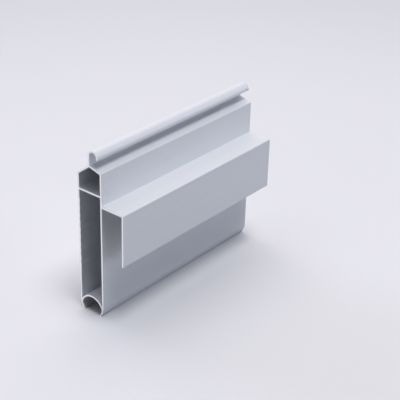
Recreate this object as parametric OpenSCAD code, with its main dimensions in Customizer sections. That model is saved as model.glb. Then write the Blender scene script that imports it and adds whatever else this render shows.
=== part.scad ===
// Roller shutter slat: a cut piece of hollow extruded aluminium section, standing on its two toes.
// +X along the length, flange towards -Y, +Z up, millimetres.

/* [Slat] */
// Length of the cut piece
length = 148; // [80:1:300]
// Thickness of the hollow body, face to face
body_t = 20; // [18:0.5:23]
// Thickness of the body's walls and roof
wall_t = 1.1; // [0.9:0.1:1.6]
// Radius of the two top edges of the body
edge_r = 0.6; // [0.3:0.1:1]

/* [Heights] */
// Height of the front wall's top edge
front_h = 103.4; // [98:0.1:105]
// Height of the fluted back wall's top edge
back_h = 98.5; // [96:0.1:101]
// Height of the ridge under the hook
ridge_h = 106.1; // [105:0.1:109]
// Height of the top of the cross web
web_h = 88; // [84:0.1:92]
// Thickness of the cross web
web_t = 1.2; // [0.9:0.1:2.5]

/* [Flange] */
// How far the flange stands out from the front wall
flange_out = 17.7; // [14:0.1:22]
// Height of the top of the flange
flange_h = 81.1; // [70:0.1:86]
// Thickness of the flange and its hanging leg
flange_t = 1.1; // [0.9:0.1:1.8]
// Height of the tip of the hanging leg
leg_h = 44.8; // [35:0.1:60]
// Radius of the outer corner between flange and leg
flange_r = 0.8; // [0.3:0.1:1]

/* [Hook] */
// Distance from the back face to the middle of the hook's stem
hook_at = 9.75; // [8:0.05:11]
// Thickness of the hook
hook_t = 1.3; // [1:0.1:1.6]
// Inside radius of the hook's curl
hook_r = 2.9; // [2.4:0.1:3.4]
// Height of the top of the hook
hook_h = 116.6; // [114:0.1:120]
// How far the lip hangs below the middle of the curl
lip_l = 1.1; // [0.9:0.1:2]

/* [Socket] */
// Height of the crown of the socket, on its inside
socket_h = 11.55; // [10:0.05:13]
// Metal left beside the socket's circle at its widest
socket_side = 1.15; // [0.9:0.05:1.4]
// Thickness of the arched wall over the socket
arch_t = 1.1; // [0.9:0.1:2]

/* [Toes] */
// Height at which the toes begin to curve in
toe_h = 8.2; // [7:0.1:9]
// Outside radius of the toes
toe_r = 14; // [12:0.1:18]
// Thickness of the toes
toe_t = 1; // [0.8:0.1:1.4]

/* [Flutes] */
// Number of flutes on the back wall
flute_n = 10; // [6:1:10]
// Distance from one flute to the next
flute_pitch = 5.15; // [5:0.05:5.4]
// Width of a flute
flute_w = 4.8; // [3:0.1:4.9]
// Depth of a flute
flute_d = 0.3; // [0.1:0.05:0.5]
// Height of the lower edge of the lowest flute
flute_low = 30; // [24:0.1:32]

/* [Hidden] */
$fn = 96;
mid = body_t / 2;
// roof: slopes of the front and back halves
front_a = atan2(ridge_h - front_h, body_t - hook_at);
back_a = atan2(ridge_h - back_h, hook_at);
front_drop = wall_t / cos(front_a);
back_drop = wall_t / cos(back_a);
apex_d = (back_drop - front_drop) / (tan(front_a) + tan(back_a));
apex_v = ridge_h - apex_d * tan(front_a) - front_drop;
front_in = front_h + wall_t * tan(front_a) - front_drop;
back_in = back_h + wall_t * tan(back_a) - back_drop;
front_c = front_h + edge_r * tan(front_a) - edge_r / cos(front_a);
back_c = back_h + edge_r * tan(back_a) - edge_r / cos(back_a);
// hook: middle of the curl
curl_u = hook_at + hook_t / 2 + hook_r;
curl_v = hook_h - hook_t - hook_r;
// socket and toes
socket_r = mid - socket_side;
socket_v = socket_h - socket_r;
toe_in = toe_r - toe_t;
toe_m = toe_r - toe_t / 2;
tip_r = 0.46 * toe_t;
toe_a = asin((toe_h - tip_r) / toe_m);
toe_u = body_t - toe_r;
toe_tip = toe_u + toe_m * cos(toe_a);
// flutes
flute_r = flute_w * flute_w / (8 * flute_d) + flute_d / 2;

// Outer profile of the body, without hook and flange
module body_profile() {
    polygon([
        [0, toe_h],
        [body_t, toe_h],
        [body_t, front_c],
        [body_t - edge_r + edge_r * sin(front_a), front_c + edge_r * cos(front_a)],
        [hook_at, ridge_h],
        [edge_r - edge_r * sin(back_a), back_c + edge_r * cos(back_a)],
        [0, back_c]
    ]);
    translate([body_t - edge_r, front_c]) circle(edge_r);
    translate([edge_r, back_c]) circle(edge_r);
    intersection() {
        square([body_t, toe_h]);
        translate([toe_u, toe_h]) circle(toe_r);
        translate([toe_r, toe_h]) circle(toe_r);
    }
}

// Gable chamber above the cross web
module gable_chamber() {
    polygon([
        [wall_t, web_h],
        [body_t - wall_t, web_h],
        [body_t - wall_t, front_in],
        [hook_at + apex_d, apex_v],
        [wall_t, back_in]
    ]);
}

// Main chamber between the arch and the cross web, its back wall following the flutes
module main_chamber() {
    difference() {
        translate([wall_t, socket_v]) square([body_t - 2 * wall_t, web_h - web_t - socket_v]);
        translate([mid, socket_v]) circle(socket_r + arch_t);
        translate([wall_t, 0]) flutes();
    }
}

// Round socket open to the floor, narrowed by the toes
module socket_room() {
    intersection() {
        translate([mid, socket_v]) circle(socket_r);
        translate([toe_u, toe_h]) circle(toe_in);
        translate([toe_r, toe_h]) circle(toe_in);
    }
}

// Wedge beyond the end of a toe, on the front (1) or the back (-1)
module toe_wedge(side) {
    polygon([
        [mid, toe_h - (mid - toe_u) * tan(toe_a)],
        [mid + side * (toe_u + 2 * toe_r * cos(toe_a) - mid), toe_h - 2 * toe_r * sin(toe_a)],
        [mid, toe_h - 2 * toe_r * sin(toe_a)]
    ]);
}

// Rounded tip of a toe, on the front (1) or the back (-1)
module toe_cap(side) {
    translate([mid + side * (toe_tip - mid), tip_r]) circle(tip_r);
}

// Shallow flutes of the back wall, all of one radius
module flutes() {
    for (i = [0 : flute_n - 1])
        translate([flute_d - flute_r, flute_low + flute_w / 2 + i * flute_pitch]) circle(flute_r);
}

// Hook on the ridge with its curled lip
module hook() {
    translate([hook_at - hook_t / 2, ridge_h - wall_t / 2])
        square([hook_t, curl_v - ridge_h + wall_t / 2]);
    intersection() {
        translate([curl_u, curl_v]) difference() {
            circle(hook_r + hook_t);
            circle(hook_r);
        }
        translate([curl_u - hook_r - hook_t, curl_v])
            square([2 * (hook_r + hook_t), hook_r + hook_t]);
    }
    translate([curl_u + hook_r, curl_v - lip_l + hook_t / 2]) square([hook_t, lip_l - hook_t / 2]);
    translate([curl_u + hook_r + hook_t / 2, curl_v - lip_l + hook_t / 2]) circle(hook_t / 2);
}

// Flange on the front wall with its hanging leg
module flange() {
    translate([body_t - wall_t / 2, flange_h - flange_t])
        square([flange_out + wall_t / 2 - flange_r, flange_t]);
    translate([body_t + flange_out - flange_t, leg_h + flange_t / 2])
        square([flange_t, flange_h - flange_r - leg_h - flange_t / 2]);
    translate([body_t + flange_out - flange_r, flange_h - flange_r]) intersection() {
        circle(flange_r);
        square(flange_r);
    }
    translate([body_t + flange_out - flange_t / 2, leg_h + flange_t / 2]) circle(flange_t / 2);
}

// Whole section: across from the back face, and up from the floor
module section() {
    union() {
        difference() {
            body_profile();
            gable_chamber();
            main_chamber();
            socket_room();
            flutes();
            toe_wedge(1);
            toe_wedge(-1);
        }
        toe_cap(1);
        toe_cap(-1);
        hook();
        flange();
    }
}

// Slat extruded as one piece
module slat() {
    color([0.93, 0.94, 0.95])
        translate([length / 2, (body_t + flange_out) / 2, 0])
            rotate([90, 0, -90])
                linear_extrude(length) section();
}

slat();
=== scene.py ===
import math

import bmesh
import bpy
from mathutils import Matrix, Vector


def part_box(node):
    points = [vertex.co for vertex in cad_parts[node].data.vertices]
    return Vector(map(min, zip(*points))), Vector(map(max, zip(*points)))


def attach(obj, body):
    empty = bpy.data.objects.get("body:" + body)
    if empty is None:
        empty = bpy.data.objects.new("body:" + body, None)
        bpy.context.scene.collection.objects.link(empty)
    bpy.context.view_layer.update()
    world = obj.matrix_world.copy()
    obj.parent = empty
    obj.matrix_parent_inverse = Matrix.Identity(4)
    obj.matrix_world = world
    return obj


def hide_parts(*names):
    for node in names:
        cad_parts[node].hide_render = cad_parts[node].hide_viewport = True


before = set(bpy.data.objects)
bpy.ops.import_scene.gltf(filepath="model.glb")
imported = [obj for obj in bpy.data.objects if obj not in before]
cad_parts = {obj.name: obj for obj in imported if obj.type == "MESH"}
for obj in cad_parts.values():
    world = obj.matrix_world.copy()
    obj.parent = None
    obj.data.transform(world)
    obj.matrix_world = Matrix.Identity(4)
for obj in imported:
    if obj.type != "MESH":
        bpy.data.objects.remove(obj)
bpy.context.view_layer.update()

# Slat
# A cut length of the hollow section that roller shutters are made of: aluminium pressed through a die
# in one piece, with hook, flange, flutes and two chambers, powder coated white as a long bar and then
# sawn off square, so that its two ends and the insides of the chambers are bare metal.
root_fillet = 0.0004  # metres, the radius that the die leaves in each inside corner
fillet_steps = 3  # faces across a fillet
fillet_angle = math.radians(30)  # corners sharper than this get a fillet
burr = 0.00014  # metres, filed off the edges of the sawn ends
sawn_lean = 0.5  # a face whose normal leans further than this along the slat was left by the saw
weld_gap = 1e-6  # metres; points closer than this are one point
flat_angle = math.radians(0.5)  # faces that meet flatter than this are one face
crease_angle = math.radians(50)  # edges sharper than this are shaded as edges
low_corner, high_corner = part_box("slat")
length = high_corner.x - low_corner.x

shape = bmesh.new()
shape.from_mesh(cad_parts["slat"].data)
bmesh.ops.remove_doubles(shape, verts=shape.verts, dist=weld_gap)


def is_sawn(face):
    """True for a face that the saw left: an end, or its filed edge."""
    return abs(face.normal.x) > sawn_lean


def runs_along(edge):
    """True for an edge that runs along the slat from end to end."""
    return abs(edge.verts[0].co.x - edge.verts[1].co.x) > length / 2


# The walls are freed of their ends and of the seams between flat faces, and get their fillets, apart
# from corners beside a face too narrow to hold one
bmesh.ops.delete(shape, geom=[face for face in shape.faces if is_sawn(face)], context="FACES")
bmesh.ops.dissolve_limit(shape, angle_limit=flat_angle, verts=shape.verts, edges=shape.edges)
corners = []
for edge in shape.edges:
    if runs_along(edge) and edge.calc_face_angle() > fillet_angle:
        widths = [face.calc_area() / length for face in edge.link_faces]
        if min(widths) > 2 * root_fillet:
            corners.append(edge)
bmesh.ops.bevel(
    shape,
    geom=corners,
    offset=root_fillet,
    offset_type="OFFSET",
    affect="EDGES",
    segments=fillet_steps,
    profile=0.5,
    material=-1,
)

# The ends are filled flat, set in by the width of the filed edge, and their rims pushed back by as much
for end in (low_corner.x, high_corner.x):
    outwards = math.copysign(1, end)
    rim = [edge for edge in shape.edges if edge.is_boundary and edge.verts[0].co.x * outwards > 0]
    rim_verts = {vert for edge in rim for vert in edge.verts}
    filled = bmesh.ops.triangle_fill(shape, edges=rim, use_beauty=True, normal=(outwards, 0, 0))
    end_faces = [item for item in filled["geom"] if isinstance(item, bmesh.types.BMFace)]
    bmesh.ops.inset_region(shape, faces=end_faces, thickness=burr, use_even_offset=True, use_boundary=True)
    bmesh.ops.translate(shape, verts=list(rim_verts), vec=(-outwards * burr, 0, 0))
bmesh.ops.recalc_face_normals(shape, faces=shape.faces)

# Each ring of wall faces is either the coated outside, which reaches the top, or a bare chamber
coat_index, bare_index, sawn_index = range(3)
walls = set()
for face in shape.faces:
    face.smooth = True
    if is_sawn(face):
        face.material_index = sawn_index
    else:
        walls.add(face)
while walls:
    ring = [walls.pop()]
    for face in ring:
        for edge in face.edges:
            for beside in edge.link_faces:
                if beside in walls:
                    walls.remove(beside)
                    ring.append(beside)
    ring_top = max(vert.co.z for face in ring for vert in face.verts)
    for face in ring:
        face.material_index = coat_index if ring_top > high_corner.z - burr else bare_index

mesh = bpy.data.meshes.new("coated_slat")
shape.to_mesh(mesh)
shape.free()
mesh.set_sharp_from_angle(angle=crease_angle)
slat = bpy.data.objects.new("coated_slat", mesh)
bpy.context.collection.objects.link(slat)
even_shading = slat.modifiers.new("even_shading", "WEIGHTED_NORMAL")
even_shading.keep_sharp = True


def linear(hex_colour):
    """Linear RGBA of an sRGB hex colour, by the curve of the sRGB standard."""
    channels = [int(hex_colour[i:i + 2], 16) / 255 for i in (1, 3, 5)]
    return [c / 12.92 if c <= 0.04045 else ((c + 0.055) / 1.055) ** 2.4 for c in channels] + [1]


def add(tree, kind, inputs, **settings):
    """Adds a node with its settings, and sets or links its inputs, which go by name or number."""
    made = tree.nodes.new(kind)
    for name, value in settings.items():
        setattr(made, name, value)
    for name, value in inputs.items():
        if isinstance(value, bpy.types.NodeSocket):
            tree.links.new(value, made.inputs[name])
        else:
            made.inputs[name].default_value = value
    return made


def new_material(name):
    """A material with an empty shader: the material, its tree, the shader and Object coordinates."""
    material = bpy.data.materials.new(name)
    material.use_nodes = True
    tree = material.node_tree
    tree.nodes.clear()
    shader = add(tree, "ShaderNodeBsdfPrincipled", {})
    add(tree, "ShaderNodeOutputMaterial", {"Surface": shader.outputs["BSDF"]})
    place = add(tree, "ShaderNodeTexCoord", {}).outputs["Object"]
    return material, tree, shader, place


# The two colours of a colour mix node and its result, by number: its sockets share their names
mix_a, mix_b, mix_result = 6, 7, 2
# Most values of a noise texture lie between these
noise_low, noise_high = 0.3, 0.7

# White polyester powder coat, baked on: a satin skin with a faint orange peel that blurs what it
# reflects, thin streaks where the die shows through it, a few specks of dust, and chips where the saw
# broke its edge
coat, tree, shader, place = new_material("white_powder_coat")
coat_white = linear("#eff0f2")
coat_streak = linear("#eaebee")
coat_speck = linear("#dadce0")
coat_chip = linear("#d6d8dc")
coat_ior = 1.5  # polyester resin
streak_roughness, white_roughness = 0.35, 0.4
streak_width = 0.003  # metres across the streaks
streak_run = 0.12  # metres along them
speck_radius = 0.0004  # metres
speck_gap = 0.012  # metres between specks, most of which lie too deep to show
chip_width = 0.0007  # metres
chip_depth = 0.0004  # metres from the sawn end, for the deepest chips
chip_begins, chip_deepest = 0.5, 0.7  # values of the noise that shapes the chips
peel_size = 0.002  # metres; the real peel is about half of this, too fine to show
peel_height = 0.0002  # metres
peel_strength = 0.15
along = add(
    tree,
    "ShaderNodeMapping",
    {"Vector": place, "Scale": (1 / streak_run, 1 / streak_width, 1 / streak_width)},
)
streaks = add(
    tree,
    "ShaderNodeTexNoise",
    {"Vector": along.outputs["Vector"], "Scale": 1, "Detail": 2, "Roughness": 0.5},
).outputs["Fac"]
white = add(
    tree,
    "ShaderNodeMix",
    {"Factor": streaks, mix_a: coat_streak, mix_b: coat_white},
    data_type="RGBA",
).outputs[mix_result]
from_speck = add(
    tree,
    "ShaderNodeTexVoronoi",
    {"Vector": place, "Scale": 1 / speck_gap},
).outputs["Distance"]
specks = add(
    tree,
    "ShaderNodeMath",
    {0: from_speck, 1: speck_radius / speck_gap},
    operation="LESS_THAN",
).outputs["Value"]
white = add(
    tree,
    "ShaderNodeMix",
    {"Factor": specks, mix_a: white, mix_b: coat_speck},
    data_type="RGBA",
).outputs[mix_result]
satin = add(
    tree,
    "ShaderNodeMapRange",
    {
        "Value": streaks,
        "From Min": noise_low,
        "From Max": noise_high,
        "To Min": streak_roughness,
        "To Max": white_roughness,
    },
).outputs["Result"]
from_middle = add(tree, "ShaderNodeSeparateXYZ", {"Vector": place}).outputs["X"]
from_middle = add(tree, "ShaderNodeMath", {0: from_middle}, operation="ABSOLUTE").outputs["Value"]
chip_shapes = add(
    tree,
    "ShaderNodeTexNoise",
    {"Vector": place, "Scale": 1 / chip_width, "Detail": 2, "Roughness": 0.6},
).outputs["Fac"]
coat_edge = add(
    tree,
    "ShaderNodeMapRange",
    {
        "Value": chip_shapes,
        "From Min": chip_begins,
        "From Max": chip_deepest,
        "To Min": length / 2,
        "To Max": length / 2 - chip_depth,
    },
).outputs["Result"]
chipped = add(
    tree,
    "ShaderNodeMath",
    {0: from_middle, 1: coat_edge},
    operation="GREATER_THAN",
).outputs["Value"]
skin = add(
    tree,
    "ShaderNodeMix",
    {"Factor": chipped, mix_a: white, mix_b: coat_chip},
    data_type="RGBA",
).outputs[mix_result]
peel = add(
    tree,
    "ShaderNodeTexNoise",
    {"Vector": place, "Scale": 1 / peel_size, "Detail": 1, "Roughness": 0.4},
).outputs["Fac"]
peel_bump = add(
    tree,
    "ShaderNodeBump",
    {"Height": peel, "Strength": peel_strength, "Distance": peel_height},
)
shader.inputs["IOR"].default_value = coat_ior
tree.links.new(skin, shader.inputs["Base Color"])
tree.links.new(chipped, shader.inputs["Metallic"])
tree.links.new(satin, shader.inputs["Roughness"])
tree.links.new(peel_bump.outputs["Normal"], shader.inputs["Normal"])
mesh.materials.append(coat)

# Mill finish aluminium, as it left the die: a dull grey skin with fine die lines along the length,
# which looks dark in the chambers because little light gets in
bare, tree, shader, place = new_material("mill_finish_aluminium")
bare_light = linear("#e6e8eb")
bare_dark = linear("#dadce0")
dark_roughness, light_roughness = 0.5, 0.58
die_line = 0.0012  # metres between lines; the real ones are several times finer, too fine to show
die_run = 0.08  # metres that a line runs before it fades
line_height = 0.0002  # metres
line_strength = 0.06
along = add(
    tree,
    "ShaderNodeMapping",
    {"Vector": place, "Scale": (1 / die_run, 1 / die_line, 1 / die_line)},
)
lines = add(
    tree,
    "ShaderNodeTexNoise",
    {"Vector": along.outputs["Vector"], "Scale": 1, "Detail": 3, "Roughness": 0.6},
).outputs["Fac"]
grey = add(
    tree,
    "ShaderNodeMix",
    {"Factor": lines, mix_a: bare_dark, mix_b: bare_light},
    data_type="RGBA",
).outputs[mix_result]
dull = add(
    tree,
    "ShaderNodeMapRange",
    {
        "Value": lines,
        "From Min": noise_low,
        "From Max": noise_high,
        "To Min": dark_roughness,
        "To Max": light_roughness,
    },
).outputs["Result"]
line_bump = add(
    tree,
    "ShaderNodeBump",
    {"Height": lines, "Strength": line_strength, "Distance": line_height},
)
shader.inputs["Metallic"].default_value = 1
tree.links.new(grey, shader.inputs["Base Color"])
tree.links.new(dull, shader.inputs["Roughness"])
tree.links.new(line_bump.outputs["Normal"], shader.inputs["Normal"])
mesh.materials.append(bare)

# Sawn aluminium: bright fresh metal with the shallow uneven arcs that the teeth of a round blade leave
sawn, tree, shader, place = new_material("sawn_aluminium")
sawn_light = linear("#fcfcfd")
sawn_dark = linear("#ebecef")
sawn_roughness = 0.32
blade_at = (0, 0.16, -0.11)  # metres, where the middle of the blade stood as it cut
arc_pitch = 0.0007  # metres between arcs; the real ones are about a quarter of this, too fine to show
arc_height = 0.0001  # metres
arc_strength = 0.15
blade = add(
    tree,
    "ShaderNodeMapping",
    {"Vector": place, "Location": [-value for value in blade_at], "Scale": (0, 1, 1)},
)
reach = add(
    tree,
    "ShaderNodeVectorMath",
    {0: blade.outputs["Vector"]},
    operation="LENGTH",
).outputs["Value"]
arcs = add(
    tree,
    "ShaderNodeTexNoise",
    {"W": reach, "Scale": 1 / arc_pitch, "Detail": 2, "Roughness": 0.6},
    noise_dimensions="1D",
).outputs["Fac"]
bright = add(
    tree,
    "ShaderNodeMix",
    {"Factor": arcs, mix_a: sawn_dark, mix_b: sawn_light},
    data_type="RGBA",
).outputs[mix_result]
arc_bump = add(
    tree,
    "ShaderNodeBump",
    {"Height": arcs, "Strength": arc_strength, "Distance": arc_height},
)
shader.inputs["Metallic"].default_value = 1
shader.inputs["Roughness"].default_value = sawn_roughness
tree.links.new(bright, shader.inputs["Base Color"])
tree.links.new(arc_bump.outputs["Normal"], shader.inputs["Normal"])
mesh.materials.append(sawn)

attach(slat, "root")
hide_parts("slat")

# Floor
# A wide sheet of matt white paper under the slat, with painted shade that greys it a little further off,
# so that it fades into the backdrop. Seen or mirrored it is pale, and it throws back less light, so that
# the slat's shaded side stays in shade.
floor_reach = 12  # metres from the slat to the paper's edge
paper_white = linear("#ecebed")
# Painted shade: the grey that the paper fades to further off, as if less light reached it there
paper_far_painted_shade = linear("#d8d8dc")
paper_shaded = linear("#a3a4a7")
paper_roughness = 0.9
paper_gloss = 0.1
# The painted shade begins to grey the paper at white_to and is full at grey_from
white_to = 0.22  # metres from the slat, where the paper begins to grey
grey_from = 0.85  # metres from the slat, where it is as grey as it gets
sheet = bmesh.new()
bmesh.ops.create_grid(sheet, x_segments=1, y_segments=1, size=floor_reach)
floor_mesh = bpy.data.meshes.new("floor")
sheet.to_mesh(floor_mesh)
sheet.free()
floor = bpy.data.objects.new("floor", floor_mesh)
bpy.context.collection.objects.link(floor)


def seen_rays(tree):
    """1 for a ray that shows a thing to the eye, straight, mirrored or through glass, and 0 for light."""
    rays = add(tree, "ShaderNodeLightPath", {}).outputs
    seen = rays["Is Camera Ray"]
    for other in ("Is Glossy Ray", "Is Transmission Ray"):
        seen = add(tree, "ShaderNodeMath", {0: seen, 1: rays[other]}, operation="MAXIMUM").outputs["Value"]
    return seen


# Matt uncoated paper, bleached white: a pale surface with hardly any sheen, greyed further off by painted
# shade
paper, tree, shader, place = new_material("matt_white_paper")
away = add(tree, "ShaderNodeVectorMath", {0: place}, operation="LENGTH").outputs["Value"]
far_painted_shade = add(
    tree,
    "ShaderNodeMapRange",
    {"Value": away, "From Min": white_to, "From Max": grey_from},
    interpolation_type="SMOOTHSTEP",
).outputs["Result"]
paper_tint = add(
    tree,
    "ShaderNodeMix",
    {"Factor": far_painted_shade, mix_a: paper_white, mix_b: paper_far_painted_shade},
    data_type="RGBA",
).outputs[mix_result]
paper_tint = add(
    tree,
    "ShaderNodeMix",
    {"Factor": seen_rays(tree), mix_a: paper_shaded, mix_b: paper_tint},
    data_type="RGBA",
).outputs[mix_result]
tree.links.new(paper_tint, shader.inputs["Base Color"])
shader.inputs["Roughness"].default_value = paper_roughness
shader.inputs["Specular IOR Level"].default_value = paper_gloss
floor_mesh.materials.append(paper)

# Light
# Soft lamps, so far off that they light the floor evenly to its edge: one high in front of the slat, two
# high behind it, and two low cool ones that fill the shade on either side. The room itself barely glows.
# Each lamp has its direction from the slat, its width in degrees, its strength and its colour.
for name, comes_from, width, strength, colour in (
    ("front_lamp", Vector((-0.06, -0.65, 2.0)), 26, 1.72, "#f6f8ff"),
    ("back_lamp", Vector((0.8, 0.95, 2.0)), 50, 0.94, "#fff6f2"),
    ("side_lamp", Vector((-0.7, 0.8, 2.0)), 40, 0.4, "#f8fbff"),
    ("front_fill", Vector((0.7, -0.7, 0.1)), 28, 1.04, "#e0e9ff"),
    ("back_fill", Vector((0.1, 0.95, 0.3)), 40, 0.9, "#e2eaff"),
):
    lamp_light = bpy.data.lights.new(name, "SUN")
    lamp_light.angle = math.radians(width)
    lamp_light.energy = strength
    lamp_light.color = linear(colour)[:3]
    lamp = bpy.data.objects.new(name, lamp_light)
    lamp.rotation_euler = (-comes_from).to_track_quat("-Z", "Y").to_euler()
    bpy.context.collection.objects.link(lamp)

glow_tint = linear("#b8cfff")
glow_strength = 0.01
backdrop_grey = linear("#d4d5de")
room = bpy.data.worlds.new("pale_room")
room.use_nodes = True
tree = room.node_tree
tree.nodes.clear()
glow = add(tree, "ShaderNodeBackground", {"Color": glow_tint, "Strength": glow_strength})
backdrop = add(tree, "ShaderNodeBackground", {"Color": backdrop_grey, "Strength": 1})
either = add(
    tree,
    "ShaderNodeMixShader",
    {"Fac": seen_rays(tree), 1: glow.outputs["Background"], 2: backdrop.outputs["Background"]},
)
add(tree, "ShaderNodeOutputWorld", {"Surface": either.outputs["Shader"]})
bpy.context.scene.world = room
bpy.context.scene.view_settings.view_transform = "Standard"

# Camera
# A long lens, looking down on the near end of the slat from its flange side.
camera_at = Vector((-0.49884, -0.41937, 0.40699))  # metres
heading = math.radians(-51.185)
tilt_down = math.radians(28.274)
roll = math.radians(1.61)
sensor_width = 36  # millimetres
focal_length = 100.46  # millimetres
lens = bpy.data.cameras.new("camera")
lens.sensor_width = sensor_width
lens.lens = focal_length
camera = bpy.data.objects.new("camera", lens)
camera.matrix_world = (
    Matrix.Translation(camera_at)
    @ Matrix.Rotation(heading, 4, "Z")
    @ Matrix.Rotation(math.pi / 2 - tilt_down, 4, "X")
    @ Matrix.Rotation(roll, 4, "Z")
)
bpy.context.collection.objects.link(camera)
bpy.context.scene.camera = camera
